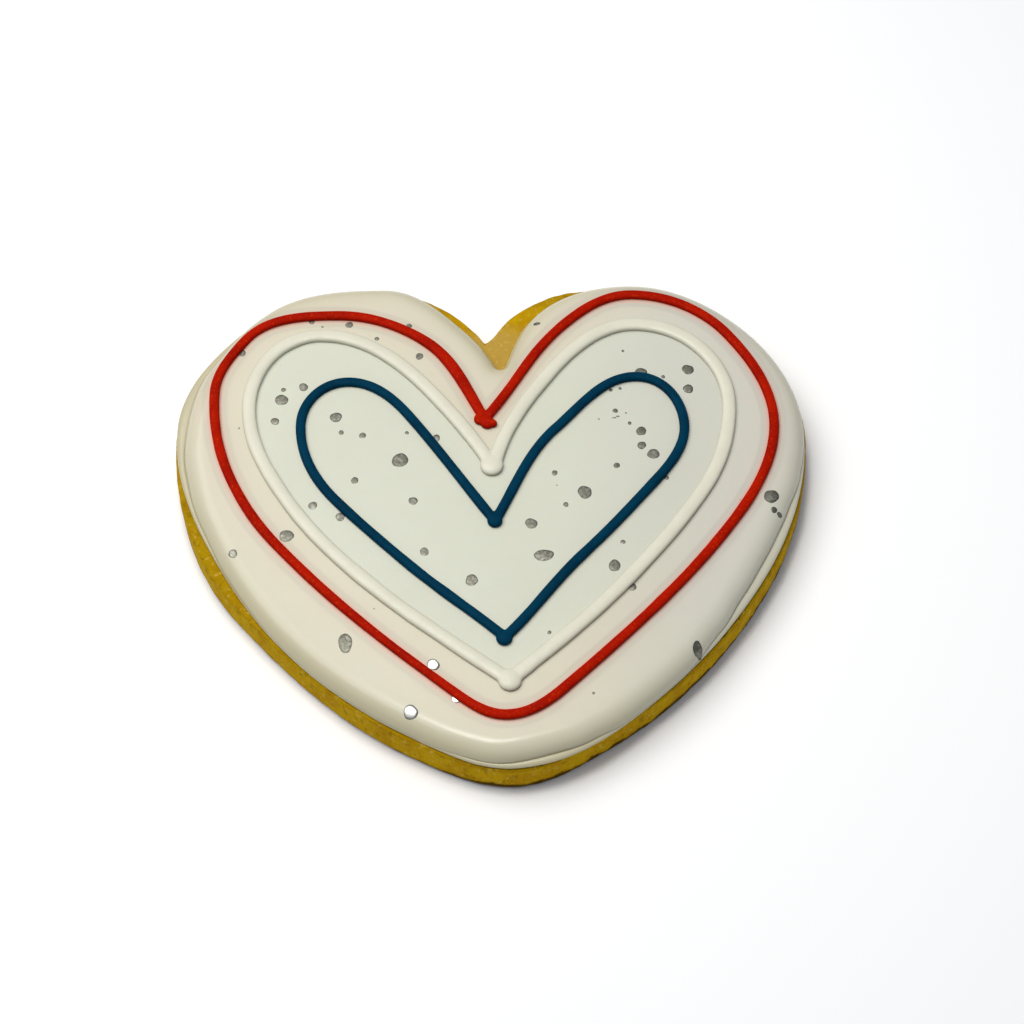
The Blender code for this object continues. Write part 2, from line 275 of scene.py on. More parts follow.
def cookie_rings():
    """Rings from the underside up the wall to the top, and how deep the crumb lies in each.

    Wall: quarter circle at the foot, straight with a slight lean, quarter ellipse at the top.
    Then every point moves in along its normal by the sum of three sizes of lumps, of pits
    where a fourth size is high, and of one crack. The top and the underside are the last and
    first ring drawn towards the heart's middle."""
    foot = np.radians([-90, -72, -54, -36, -18])
    wall = np.linspace(0, 1, 16)
    top = np.radians([8, 16, 24, 32, 40, 50, 60, 70, 80, 90])
    across, down = COOKIE_TOP_ROUND
    straight = COOKIE_HEIGHT - down - COOKIE_FOOT_ROUND
    inset = np.concatenate([
        COOKIE_FOOT_ROUND * (1 - np.cos(foot)),
        COOKIE_LEAN * wall,
        COOKIE_LEAN + across * (1 - np.cos(top)),
    ])
    height = np.concatenate([
        COOKIE_FOOT_ROUND * (1 + np.sin(foot)),
        COOKIE_FOOT_ROUND + straight * wall,
        COOKIE_HEIGHT - down * (1 - np.sin(top)),
    ])
    round_top = np.arctan2(np.sin(top) / down, np.cos(top) / across)
    tilt = np.concatenate([foot, 0 * wall, round_top])[:, None, None]
    rings = np.zeros((len(inset), len(cookie_line), 3))
    rings[..., :2] = cookie_line - cookie_side * inset[:, None, None]
    rings[..., 2] = height[:, None]
    outward = np.zeros_like(rings)
    outward[..., :2] = cookie_side * np.cos(tilt)
    outward[..., 2:] = np.sin(tilt)
    deep = np.full(rings.shape[:2], WALL_DEPTH)
    for size, depth, flatter, seed in CRUMB_LUMPS:
        deep = deep + depth * (1 + lumps(rings * (1, 1, flatter), size, seed))
    deep = deep + PIT_DEPTH * np.clip(lumps(rings * (1, 1, 1.8), 1.2, 16) - 0.45, 0, 1)
    crack = np.linalg.norm((rings - CRACK_SPOT) / CRACK_SIZE, axis=2)
    deep = deep + CRACK_DEPTH * np.exp(-(crack**2))
    deep = deep * np.clip((tilt[..., 0] + np.pi / 2) / 0.6, 0, 1)
    rings = rings - outward * deep[..., None]
    middle = np.array(HEART_MIDDLE)
    under_share = np.array([0.05, 0.2, 0.4, 0.6, 0.8, 0.93])[:, None, None]
    under = np.zeros((len(under_share), len(cookie_line), 3))
    under[..., :2] = middle + (rings[0, :, :2] - middle) * under_share
    top_share = [0.985, 0.97, 0.955, 0.94, 0.92, 0.9, 0.87, 0.84, 0.8, 0.7, 0.5, 0.3, 0.1]
    top_share = np.array(top_share)[:, None, None]
    above = np.zeros((len(top_share), len(cookie_line), 3))
    above[..., :2] = middle + (rings[-1, :, :2] - middle) * top_share
    above[..., 2] = COOKIE_HEIGHT - 0.08 - 0.04 * lumps(above, 3.0, 14) - 0.03 * lumps(above, 1.1, 15)
    fade = np.linspace(0.3, 1, 4)[:, None]
    above[:4, :, 2] = rings[-1, :, 2] * (1 - fade) + above[:4, :, 2] * fade
    on_top = np.full(above.shape[:2], TOP_DEPTH)
    hollow = np.concatenate([np.zeros(under.shape[:2]), deep, on_top])
    return np.concatenate([under, rings, above]), hollow


rings, hollow = cookie_rings()
top_middle = (*HEART_MIDDLE, COOKIE_HEIGHT - TOP_DEPTH)
cookie = skin_over("cookie_baked", rings, (*HEART_MIDDLE, 0.0), top_middle)
give(cookie, "hollow", np.append(hollow.ravel(), [0, TOP_DEPTH]))

baked = recipe("baked_dough", {"Roughness": 0.9, "Specular IOR Level": 0.03})
depth = stored(baked, "hollow")
level = along_axis(baked, "Z")
cleft = tuple(part * MM for part in CLEFT_SPOT)
from_cleft = add(baked, "ShaderNodeVectorMath", {0: place_in(baked), 1: cleft}, "Value", operation="DISTANCE")
crumb = tinted(baked, between(baked, grain(baked, 4.0, 3.0, 0.6, 0.7), 0.40, 0.66), GOLDEN, TOASTED)
away = between(baked, from_cleft, 8 * MM, 15 * MM)
# Painted shade: the wall darkens to olive just under the icing's overhang, except near the cleft.
shade = sized(baked, "MULTIPLY", between(baked, level, 5.1 * MM, 5.9 * MM, 0.0, 0.45), away)
crumb = tinted(baked, shade, crumb, OLIVE_AND_PAINTED_SHADE)
crumb = tinted(baked, between(baked, from_cleft, 3.4 * MM, 7.5 * MM, 0.9, 0.0), crumb, PALE_TOP)
fleck = between(baked, grain(baked, 0.9, 4.0, 0.7, 0.6), 0.55, 0.68, 0.0, 0.65)
crumb = tinted(baked, fleck, crumb, PALE_FLECK)
dark = between(baked, grain(baked, 1.3, 4.0, 0.7, 0.7), 0.46, 0.33, 0.0, 0.6)
crumb = tinted(baked, sized(baked, "MULTIPLY", dark, away), crumb, OLIVE_AND_PAINTED_SHADE)
speck = between(baked, grain(baked, 0.5, 3.0, 0.6, 0.8), 0.62, 0.74, 0.0, 0.5)
crumb = tinted(baked, sized(baked, "MULTIPLY", speck, away), crumb, BROWN_AND_PAINTED_SHADE)
# Painted shade: where the crumb lies deepest, in its pits and the crack, the colour darkens.
crumb = tinted(baked, between(baked, depth, 0.22, 0.42, 0.0, 0.7), crumb, BROWN_AND_PAINTED_SHADE)
# Painted shadow with real browning: a ragged band at the foot of the wall, wider towards the right, darkens
# to toasted and then brown. Part of it is the tray's browning and part is shadow where the wall curls under.
dark_foot_reach = between(baked, along_axis(baked, "X"), -18 * MM, 6 * MM, 1.1 * MM, 2.9 * MM)
ragged = sized(baked, "MULTIPLY", grain(baked, 3.0, 3.0, 0.6, 0.5), dark_foot_reach)
low = sized(baked, "SUBTRACT", level, ragged)
crumb = tinted(baked, between(baked, low, 0.9 * MM, 0.1 * MM, 0.0, 0.45), crumb, TOASTED)
crumb = tinted(baked, between(baked, low, 0.4 * MM, -0.35 * MM, 0.0, 0.95), crumb, BROWN_AND_PAINTED_SHADE)
colour_with(baked, crumb)
coarse = sized(baked, "MULTIPLY", grain(baked, 1.1, 3.0, 0.6, 0.8), 0.7)
fine = sized(baked, "MULTIPLY", grain(baked, 0.35), 0.35)
relief_with(baked, sized(baked, "ADD", coarse, fine), 0.4)
cookie.data.materials.append(baked)
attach(cookie, "root")
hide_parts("cookie")


# The white flood icing. A thin outline is piped round the cookie first and settles into a
# low lip; then runny icing is flooded inside it, swells to a round edge and dries to a
# smooth, softly wavy satin skin.
ICING_FOOT = 5.3
ICING_SINK = 0.4
LIP_FOOT = 5.95
LIP_BASE = 6.3
LIP_RISE = 0.45
WIDEST_LIP = 1.4
GROOVE_DEPTH = 0.2
GROOVE_WIDTH = 0.25
FLOOD_EDGE = 3.0
FLOOD_TOP = 8.6
# How strong the painted shade over the flood's rounded edge and lip is, how much less on the right, and how
# far in it reaches, in millimetres
EDGE_SHADE_SHARE = 0.62
EDGE_SHADE_LESS_RIGHT = 0.3
EDGE_SHADE_REACH = 2.1
WARM_WHITE = (0.655, 0.622, 0.488)
COOL_WHITE = (0.635, 0.648, 0.538)
# Grey of the painted shade on the flood's right side
PAINTED_SHADE_GREY = (0.585, 0.583, 0.51)
CLOUDED_WHITE = (0.56, 0.535, 0.435)
# Colour of the painted shade over the flood's rounded edge, tinted towards the dough's yellow
EDGE_PAINTED_SHADE = (0.39, 0.345, 0.18)
PINK_STAIN = (0.92, 0.36, 0.26)
ICING_OUTLINE = [
    (0.7, 26.1, 118),
    (-4.5, 33.0, 135),
    (-16.7, 40.4, 180),
    (-34.9, 35.8, 220),
    (-47.3, 14.8, 270),
    (-37.0, -12.6, 303),
    (-11.6, -35.2, 333),
    (2.6, -40.2, 360),
    (17.3, -34.8, 396),
    (36.6, -15.3, 415),
    (47.1, 14.2, 450),
    (38.8, 33.0, 495),
    (20.4, 41.4, 540),
    (6.0, 35.0, 591),
    (2.0, 26.2, 610),
    (1.2, 25.7, 540),
    (0.7, 26.1, 478),
]

# The lip's width in millimetres at bearings round the heart, in degrees from +X
LIP_WIDTHS = [
    (0, 0.8),
    (8, 0.35),
    (17, 0.08),
    (55, 0.08),
    (68, 0.35),
    (82, 0.2),
    (95, 0.08),
    (135, 0.1),
    (150, 0.9),
    (160, 1.4),
    (171, 0.75),
    (182, 0.4),
    (195, 0.08),
    (255, 0.08),
    (268, 0.35),
    (282, 0.8),
    (292, 0.45),
    (300, 0.08),
    (318, 0.08),
    (330, 0.45),
    (340, 0.9),
    (347, 1.05),
    (354, 1.0),
    (360, 0.8),
]

icing_line, icing_side = run_of(ICING_OUTLINE, 0.42, 2.2, closed=True)


def lip_width(places):
    """Width of the lip at places on the outline, eased by a cosine between the bearings."""
    bearings, widths = np.array(LIP_WIDTHS, float).T
    bearing = np.degrees(np.arctan2(places[:, 1], places[:, 0])) % 360
    low = np.clip(np.searchsorted(bearings, bearing, side="right") - 1, 0, len(bearings) - 2)
    share = (bearing - bearings[low]) / (bearings[low + 1] - bearings[low])
    return widths[low] + (widths[low + 1] - widths[low]) * (1 - np.cos(np.pi * share)) / 2


BATCH = 4000


def nearest(places, line):
    """Distance from each place to the nearest point of a line, and that point's number."""
    far = np.zeros(len(places))
    which = np.zeros(len(places), int)
    for first in range(0, len(places), BATCH):
        some = slice(first, first + BATCH)
        apart = ((places[some, None, :] - line[None]) ** 2).sum(axis=2)
        which[some] = apart.argmin(axis=1)
        far[some] = np.sqrt(apart.min(axis=1))
    return far, which


def soft_waves(places):
    """The flood's low unevenness at places seen from above: two sizes of lumps."""
    level = np.concatenate([places, np.zeros_like(places[..., :1])], axis=-1)
    return 0.035 * lumps(level, 11.0, 21) + 0.012 * lumps(level, 4.0, 22)


def lip_shape(width):
    """Height of a lip's top, height of the groove inside it, and the groove's width.

    The lip rises with the square root of its width; the groove fades with a narrow lip."""
    top = LIP_BASE + LIP_RISE * np.sqrt(width / WIDEST_LIP)
    wide = np.clip(width / 0.8, 0.15, 1)
    return top, top - GROOVE_DEPTH * wide, GROOVE_WIDTH * wide


def icing_level(places):
    """Height of the flood's surface: a quarter ellipse over its rounded edge, then flat."""
    far, which = nearest(places, icing_line)
    width = lip_width(icing_line)[which]
    top, groove, gap = lip_shape(width)
    share = np.clip((far - width - gap) / FLOOD_EDGE, 0, 1)
    rise = np.sqrt(1 - (1 - share) ** 2)
    return groove + (FLOOD_TOP - groove) * rise + rise * soft_waves(places)


def icing_rings():
    """Rings of the icing from its hidden underside, over lip, groove and round edge, inwards.

    Lip: the outer part of an ellipse, leaning outwards, then a slow fall to the groove.
    Flood's edge: a quarter ellipse rising from the groove. Flat: the last ring drawn towards
    the heart's middle."""
    width = lip_width(icing_line)[None, :]
    top, groove, gap = lip_shape(width)
    bulge = 0.1 + 0.75 * width
    lip = np.radians(np.linspace(-50, 90, 11))[:, None]
    lip_inset = bulge * (1 - np.cos(lip))
    half_rise = (top - LIP_FOOT) / (1 + np.sin(np.radians(50)))
    lip_level = top - half_rise * (1 - np.sin(lip))
    fall = np.array([0.3, 0.6, 0.8, 0.92, 1.0])[:, None]
    fall_inset = bulge + (width + gap - bulge) * fall
    fall_level = top - (top - groove) * fall**3
    edge = [3, 7, 12, 17, 22, 27, 32, 38, 44, 50, 56, 62, 68, 74, 80, 85, 90]
    edge = np.radians(np.array(edge))[:, None]
    edge_inset = width + gap + FLOOD_EDGE * (1 - np.cos(edge))
    edge_level = groove + (FLOOD_TOP - groove) * np.sin(edge)
    foot_inset = lip_inset[:1] + 0.15
    inset = np.concatenate([foot_inset, lip_inset, fall_inset, edge_inset])
    level = np.concatenate([0 * width + ICING_FOOT, lip_level, fall_level, edge_level])
    rings = np.zeros((*inset.shape, 3))
    rings[..., :2] = icing_line - icing_side * inset[..., None]
    rings[..., 2] = level
    waves = np.concatenate([np.zeros(1 + len(lip) + len(fall)), np.sin(edge[:, 0])])[:, None]
    rings[..., 2] += waves * soft_waves(rings[..., :2])
    loose = np.concatenate([np.ones(12), np.linspace(0.9, 0.2, 5), 0 * edge[:, 0]])[:, None]
    rings[..., :2] -= icing_side * (0.06 * np.abs(lumps(rings, 6.0, 23)) * loose)[..., None]
    middle = np.array(HEART_MIDDLE)
    share = np.linspace(1, 0.014, 62)[1:, None, None]
    flat = np.zeros((len(share), len(icing_line), 3))
    flat[..., :2] = middle + (rings[-1, :, :2] - middle) * share
    flat[..., 2] = FLOOD_TOP + soft_waves(flat[..., :2])
    under_share = np.array([0.05, 0.3, 0.6, 0.85, 0.96])[:, None, None]
    under = np.zeros((len(under_share), len(icing_line), 3))
    under[..., :2] = middle + (rings[0, :, :2] - middle) * under_share
    under[..., 2] = COOKIE_HEIGHT - ICING_SINK
    return np.concatenate([under, rings, flat])


rings = icing_rings()
crown = FLOOD_TOP + soft_waves(np.array([HEART_MIDDLE]))[0]
icing_poles = (*HEART_MIDDLE, COOKIE_HEIGHT - ICING_SINK), (*HEART_MIDDLE, crown)
icing = skin_over("icing_flood", rings, *icing_poles)


def painted_edge_shade(places):
    """Share of painted shade over the icing's rounded edge and lip, tinted towards the dough's
    yellow: it fades with the distance from the edge, and is less on the right."""
    right = np.clip((places[:, 0] - 8) / 24, 0, 1)
    share = EDGE_SHADE_SHARE - EDGE_SHADE_LESS_RIGHT * right
    return share * np.exp(-((nearest(places, icing_line)[0] / EDGE_SHADE_REACH) ** 1.6))


over = rings[..., :2].reshape(-1, 2)
# The attribute thin holds the share of painted shade over the flood's rounded edge and lip.
give(icing, "thin", np.append(painted_edge_shade(over), [0, 0]))

glaze = recipe("white_icing", {
    "Roughness": 0.3,
    "Specular IOR Level": 0.32,
    "Subsurface Weight": 0.1,
    "Subsurface Scale": 0.001,
})
cloud = between(glaze, grain(glaze, 16.0, 2.0), 0.3, 0.7, 0.0, 0.12)
# Painted shade: the flood turns greyer towards its right side.
right = between(glaze, along_axis(glaze, "X"), 6 * MM, 34 * MM, 0.0, 0.9)
skin = tinted(glaze, stored(glaze, "inner_white"), WARM_WHITE, COOL_WHITE)
skin = tinted(glaze, right, skin, PAINTED_SHADE_GREY)
skin = tinted(glaze, cloud, skin, CLOUDED_WHITE)
# Painted shade over the rounded edge and lip, by the share in the attribute thin.
skin = tinted(glaze, stored(glaze, "thin"), skin, EDGE_PAINTED_SHADE)
skin = tinted(glaze, stored(glaze, "red_bleed"), skin, PINK_STAIN)
colour_with(glaze, skin)
rough_with(glaze, between(glaze, grain(glaze, 3.0, 2.0), 0.3, 0.7, 0.20, 0.26))
wide = sized(glaze, "MULTIPLY", grain(glaze, 2.5), 2.0)
relief_with(glaze, sized(glaze, "ADD", grain(glaze, 0.5, 2.0), wide), 0.006)
icing.data.materials.append(glaze)
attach(icing, "root")
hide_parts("icing")


# The red heart, piped on the set flood in one stroke from a small round tip. It starts and
# ends in a small untidy knot in the cleft, and its dye stains the white a faint pink beside it.
RED_WIDTH = 1.5
RED_HEIGHT = 0.9
RED_HEART = [
    (-0.9, 15.2, 120),
    (-9.5, 28.8, 140),
    (-24.0, 34.1, 180),
    (-37.7, 29.5, 234),
    (-41.7, 20.0, 270),
    (-31.1, -6.2, 312),
    (-5.6, -29.3, 322),
    (2.2, -33.2, 360),
    (10.3, -29.2, 403),
    (32.0, -6.6, 412),
    (42.3, 15.3, 450),
    (36.1, 30.6, 487),
    (21.4, 38.0, 540),
    (11.6, 33.1, 583),
    (-0.9, 15.4, 593),
]
RED_KNOT = [(-1.7, 15.3, 0.95), (-0.6, 14.7, 1.1), (0.3, 14.5, 0.6)]
RED_STAIN = 1.2
STAIN_SHARE = 0.5
STAIN_REACH = 0.38
BLUSH_SHARE = 0.05
BLUSH_REACH = 3.0
STRIP_LIFT = 0.01
STRIP_DIP = 0.014

# Where the bag was pressed harder or less: place, reach and share of the width
RED_PRESSES = [(10.0, 7.0, 0.25), (114.0, 14.0, -0.14)]
RED = (0.40, 0.008, 0.0004)
RED_THICK = (0.31, 0.005, 0.0004)
RED_LIGHT = (0.58, 0.038, 0.0005)
RED_CREASE_SHADE = (0.20, 0.002, 0.0003)
STROKE_STEP = 0.3
VOXEL = 0.14


def bead_section(turn):
    """A piped bead's section at angles round it: shares of the half width and of the height.

    The section is a rounded box: cosine and sine raised to powers under one. Its lower part is
    fuller, and its foot goes into the icing below by a quarter of the height."""
    below = np.sin(turn) < 0
    across = np.sign(np.cos(turn)) * np.abs(np.cos(turn)) ** np.where(below, 0.6, 0.85)
    up = np.where(below, 0.4 + 0.65 * np.sin(turn), 0.4 + 0.6 * np.abs(np.sin(turn)) ** 0.85)
    return across, up


def piped_stroke(landmarks, width, height, seed, presses):
    """One stroke of the bag: the section carried along its line, on the icing's surface.

    The line wanders sideways and the bead swells by a few hundredths, as smooth lumps of
    the travelled length. Each press names a place on that length, its reach and the share by
    which the bead is wider or thinner there, as a bell curve. Both ends close in a half
    circle. Returns rings and poles."""
    line, side = run_of(landmarks, STROKE_STEP, 0.5, closed=False)
    travelled = np.arange(len(line)) * STROKE_STEP
    beat = np.stack([travelled, 0 * travelled + 3.3 * seed, 0 * travelled], axis=1)
    line = line + side * (0.05 * lumps(beat, 7.0, seed))[:, None]
    swell = 1 + 0.035 * lumps(beat, 3.5, seed + 1) + 0.015 * lumps(beat, 1.3, seed + 2)
    for place, stretch, share in presses:
        swell = swell + share * np.exp(-(((travelled - place) / stretch) ** 2))
    lift = 1 + 0.05 * lumps(beat, 4.5, seed + 3)
    ends = np.minimum(travelled, travelled[::-1]) / (width / 2)
    closing = np.sqrt(1 - (1 - np.clip(ends, 0.02, 1)) ** 2)
    turn = np.linspace(0, 2 * np.pi, 25)[:-1]
    across, up = bead_section(turn)
    rings = np.zeros((len(line), len(turn), 3))
    reach = (width / 2) * (swell * closing)[:, None, None] * across[None, :, None]
    rings[..., :2] = line[:, None, :] + side[:, None, :] * reach
    base = icing_level(line)
    risen = height * (lift * closing)[:, None] * (up[None, :] - 0.1)
    rings[..., 2] = base[:, None] + risen + 0.1 * height
    start = (*line[0], base[0] + 0.3 * height)
    end = (*line[-1], base[-1] + 0.3 * height)
    return rings, start, end


def piped_drop(x, y, radius, height):
    """A drop where the bag stops: the bead's section turned about an upright line."""
    turn = np.linspace(-np.pi / 2, np.pi / 2, 15)[1:-1]
    across, up = bead_section(turn)
    angle = np.linspace(0, 2 * np.pi, 33)[:-1]
    rings = np.zeros((len(turn), len(angle), 3))
    rings[..., 0] = x + radius * across[:, None] * np.cos(angle)
    rings[..., 1] = y + radius * across[:, None] * np.sin(angle)
    base = icing_level(np.array([[x, y]]))[0]
    rings[..., 2] = base + height * up[:, None]
    return rings, (x, y, base - 0.25 * height), (x, y, base + height)


def joined(pieces):
    """Several pieces made one mesh, under the first one's name."""
    with bpy.context.temp_override(
        active_object=pieces[0], selected_editable_objects=pieces, selected_objects=pieces
    ):
        bpy.ops.object.join()
    return pieces[0]


def piped_heart(name, strokes, drops, width, height, drop_height, seed, presses=()):
    """The strokes and drops of one colour run together into one skin of icing.

    They are remade as one surface on a fine voxel grid and smoothed, which rounds the joints
    as wet icing does. Each point of it gets the attribute foot: 1 low on the bead's side and
    0 over its shoulder."""
    shapes = [
        piped_stroke(line, width, height, seed + 10 * number, presses)
        for number, line in enumerate(strokes)
    ]
    shapes += [piped_drop(x, y, radius, drop_height) for x, y, radius in drops]
    piece = joined([skin_over(name, *shape) for shape in shapes])
    remade = piece.modifiers.new("run together", "REMESH")
    remade.mode = "VOXEL"
    remade.voxel_size = VOXEL * MM
    remade.use_smooth_shade = True
    rounded = piece.modifiers.new("settle", "SMOOTH")
    rounded.factor = 0.5
    rounded.iterations = 7
    bpy.context.view_layer.update()
    finished = piece.evaluated_get(bpy.context.evaluated_depsgraph_get())
    settled = bpy.data.meshes.new_from_object(finished)
    piece.modifiers.clear()
    piece.data = settled
    piece.name = name
    settled.shade_smooth()
    places = np.zeros(3 * len(settled.vertices))
    settled.vertices.foreach_get("co", places)
    places = places.reshape(-1, 3) / MM
    above = places[:, 2] - icing_level(places[:, :2])
    give(piece, "foot", np.clip((0.85 - above / height) / 0.35, 0, 1))
    return piece


def coat(piece, material):
    """The piece in one material, in place of any that it has."""
    piece.data.materials.clear()
    piece.data.materials.append(material)


def piped_icing(name, colour, thick, light, crease_shade, roughness, shine):
    """Stiff icing: its colour pools darker in clouds and thins on small high grains, and painted
    shade darkens it down its sides, where the bead meets the flood."""
    material = recipe(name, {"Roughness": roughness, "Specular IOR Level": shine})
    cloud = between(material, grain(material, 4.0, 2.0), 0.35, 0.7)
    high = between(material, grain(material, 0.45, 3.0), 0.52, 0.75, 0.0, 0.55)
    tone = tinted(material, cloud, colour, thick)
    tone = tinted(material, high, tone, light)
    # Painted shade: the colour darkens low on the bead's sides, in the crease against the flood.
    foot = sized(material, "MULTIPLY", stored(material, "foot"), 0.4)
    tone = tinted(material, foot, tone, crease_shade)
    colour_with(material, tone)
    spread = (roughness - 0.05, roughness + 0.08)
    rough_with(material, between(material, grain(material, 0.8), 0.3, 0.7, *spread))
    fine = sized(material, "MULTIPLY", grain(material, 0.25), 0.35)
    relief_with(material, sized(material, "ADD", fine, grain(material, 1.1, 2.0)), 0.05)
    return material


red_heart = piped_heart(
    "red_piped_heart", [RED_HEART], RED_KNOT, RED_WIDTH, RED_HEIGHT,
    drop_height=0.95, seed=31, presses=RED_PRESSES)
red_coat = piped_icing(
    "red_icing", RED, RED_THICK, RED_LIGHT, RED_CREASE_SHADE, roughness=0.5, shine=0.02)
coat(red_heart, red_coat)
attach(red_heart, "root")
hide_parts("red_line")

beside, _ = nearest(over, run_of(RED_HEART, 0.8, 0.0, closed=False)[0])
blush = BLUSH_SHARE * np.exp(-((beside / BLUSH_REACH) ** 2))
give(icing, "red_bleed", np.append(blush, [0, 0]))


def stained_skin():
    """The strip of flood that the red dye has crept into, from under the bead outwards.

    Across it the stain falls from the bead's edge as a bell curve of the distance. The strip
    is a hundredth of a millimetre higher than the flood in the middle and dips under it at
    its edges, by the square of the distance."""
    line, side = run_of(RED_HEART, 0.45, 0.5, closed=False)
    reach = RED_WIDTH / 2 + RED_STAIN
    half = np.array([0.42, 0.5, 0.58, 0.66, 0.76, 0.87, 1])
    out = np.concatenate([-half[::-1], [0], half])
    top = np.zeros((len(line), len(out), 3))
    top[..., :2] = line[:, None, :] + side[:, None, :] * (reach * out)[None, :, None]
    level = icing_level(top[..., :2].reshape(-1, 2)).reshape(top.shape[:2])
    top[..., 2] = level + STRIP_LIFT - STRIP_DIP * out**2
    below = top[:, ::-1] - (0, 0, 0.1)
    gone = np.clip(np.abs(out) * reach - RED_WIDTH / 2, 0, None) / STAIN_REACH
    stain = STAIN_SHARE * np.exp(-(gone**2))
    stain = stain + BLUSH_SHARE * np.exp(-((out * reach / BLUSH_REACH) ** 2))
    stain = np.concatenate([stain, stain[::-1]])
    loops = np.concatenate([top, below], axis=1)[:, ::-1]
    strip = skin_over("stained", loops, loops[0].mean(axis=0), loops[-1].mean(axis=0))
    give(strip, "red_bleed", np.append(np.tile(stain[::-1], len(line)), [0.4, 0.4]))
    give(strip, "inner_white", np.zeros(len(strip.data.vertices)))
    # The strip takes the same painted shade near the edge as the flood.
    give(strip, "thin", np.append(painted_edge_shade(loops[..., :2].reshape(-1, 2)), [0, 0]))
    strip.data.set_sharp_from_angle(angle=np.radians(30))
    strip.data.materials.append(glaze)
    return strip


# The white heart, piped in two strokes from a larger tip inside the red one, of the same
# icing as the flood. Both strokes meet in a round drop in the cleft and another at the tip.
WHITE_WIDTH = 2.15
WHITE_HEIGHT = 0.9
WHITE_LEFT = [
    (0.1, 7.2, 120),
    (-9.2, 20.3, 130),
    (-26.0, 30.4, 180),
    (-36.4, 18.0, 270),
    (-29.7, 0.9, 304),
    (-12.0, -17.1, 321),
    (2.7, -27.9, 324),
]
WHITE_RIGHT = [
    (0.4, 6.8, 80),
    (9.0, 23.9, 53),
    (21.8, 32.5, 0),
    (35.7, 18.2, 270),
    (29.8, 0.9, 235),
    (11.6, -20.1, 223),
    (2.8, -28.0, 223),
]
WHITE_DROPS = [(0.1, 7.2, 1.75), (2.8, -27.9, 1.7)]
WHITE = (0.68, 0.668, 0.54)
WHITE_THICK = (0.655, 0.64, 0.515)
WHITE_LIGHT = (0.70, 0.688, 0.565)
WHITE_CREASE_SHADE = (0.45, 0.43, 0.35)

white_heart = piped_heart(
    "white_piped_heart", [WHITE_LEFT, WHITE_RIGHT], WHITE_DROPS, WHITE_WIDTH, WHITE_HEIGHT,
    drop_height=1.05, seed=51)
white_coat = piped_icing(
    "piped_white_icing", WHITE, WHITE_THICK, WHITE_LIGHT, WHITE_CREASE_SHADE, roughness=0.38, shine=0.4)
coat(white_heart, white_coat)
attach(white_heart, "root")
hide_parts("white_line")


def inside_of(places, line):
    """Whether each place lies inside a closed line: the line crosses its row to the right an
    odd number of times."""
    odd = np.zeros(len(places), bool)
    for (x0, y0), (x1, y1) in zip(line, np.roll(line, -1, axis=0)):
        crosses = (y0 > places[:, 1]) != (y1 > places[:, 1])
        span = y1 - y0 if y1 != y0 else 1.0
        odd ^= crosses & (places[:, 0] < x0 + (x1 - x0) * (places[:, 1] - y0) / span)
    return odd


left_run = run_of(WHITE_LEFT, 1.0, 0.0, closed=False)[0]
right_run = run_of(WHITE_RIGHT, 1.0, 0.0, closed=False)[0]
white_run = np.concatenate([left_run, right_run[::-1]])
give(icing, "inner_white", np.append(inside_of(over, white_run).astype(float), [1, 1]))
joined([icing, stained_skin()])


# The blue heart, piped in two strokes inside the white one, from the same small tip as the
# red. Its strokes are a little less even, and meet in a drop in the cleft and at the tip.
BLUE_WIDTH = 1.5
BLUE_HEIGHT = 0.9
BLUE_LEFT = [
    (0.5, -2.1, 126),
    (-12.4, 16.0, 128),
    (-21.6, 21.9, 180),
    (-28.5, 14.3, 270),
    (-23.0, 1.5, 313),
    (-10.6, -10.5, 318),
    (2.1, -21.2, 318),
]
BLUE_RIGHT = [
    (0.6, -2.2, 62),
    (9.6, 13.7, 45),
    (21.8, 22.9, 0),
    (28.85, 14.2, 270),
    (23.7, 4.0, 231),
    (12.9, -8.3, 227),
    (2.1, -21.2, 225),
]
BLUE_DROPS = [(0.6, -2.2, 1.15), (2.0, -21.3, 1.2)]
BLUE = (0.0003, 0.035, 0.072)
BLUE_THICK = (0.0002, 0.026, 0.055)
BLUE_LIGHT = (0.001, 0.048, 0.094)
BLUE_CREASE_SHADE = (0.0002, 0.018, 0.040)

blue_heart = piped_heart(
    "blue_piped_heart", [BLUE_LEFT, BLUE_RIGHT], BLUE_DROPS, BLUE_WIDTH, BLUE_HEIGHT,
    drop_height=1.0, seed=71)
blue_coat = piped_icing(
    "blue_icing", BLUE, BLUE_THICK, BLUE_LIGHT, BLUE_CREASE_SHADE, roughness=0.5, shine=0.02)
coat(blue_heart, blue_coat)
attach(blue_heart, "root")
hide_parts("blue_line")


# The silver drops: edible silver paint flicked from a brush on the set icing. Each drop dried
# to a thin, slightly domed disc with a crinkled, mottled skin. Three that lie thicker lean
# a little, and a painted reflection makes them brighter than the others.
SILVER_DARK = (0.16, 0.157, 0.125)
SILVER_PALE = (0.28, 0.277, 0.24)
SILVER_SPOTS = (0.04, 0.039, 0.025)
SILVER_PAINTED_REFLECTION = (0.62, 0.62, 0.595)
SILVER_RIM = (0.045, 0.043, 0.026)
DROP_SIDES = 28
DROP_SINK = 0.015
DROP_FOOT = 0.08

# A drop's rings from its edge inwards, as shares of its half width
DROP_RINGS = [1.0, 0.96, 0.9, 0.8, 0.65, 0.45, 0.25]

# How dark the rim is in the bottom ring and in each of those rings
RIM_SHARES = [1.0, 1.0, 1.0, 0.85, 0.35, 0.0, 0.0, 0.0]

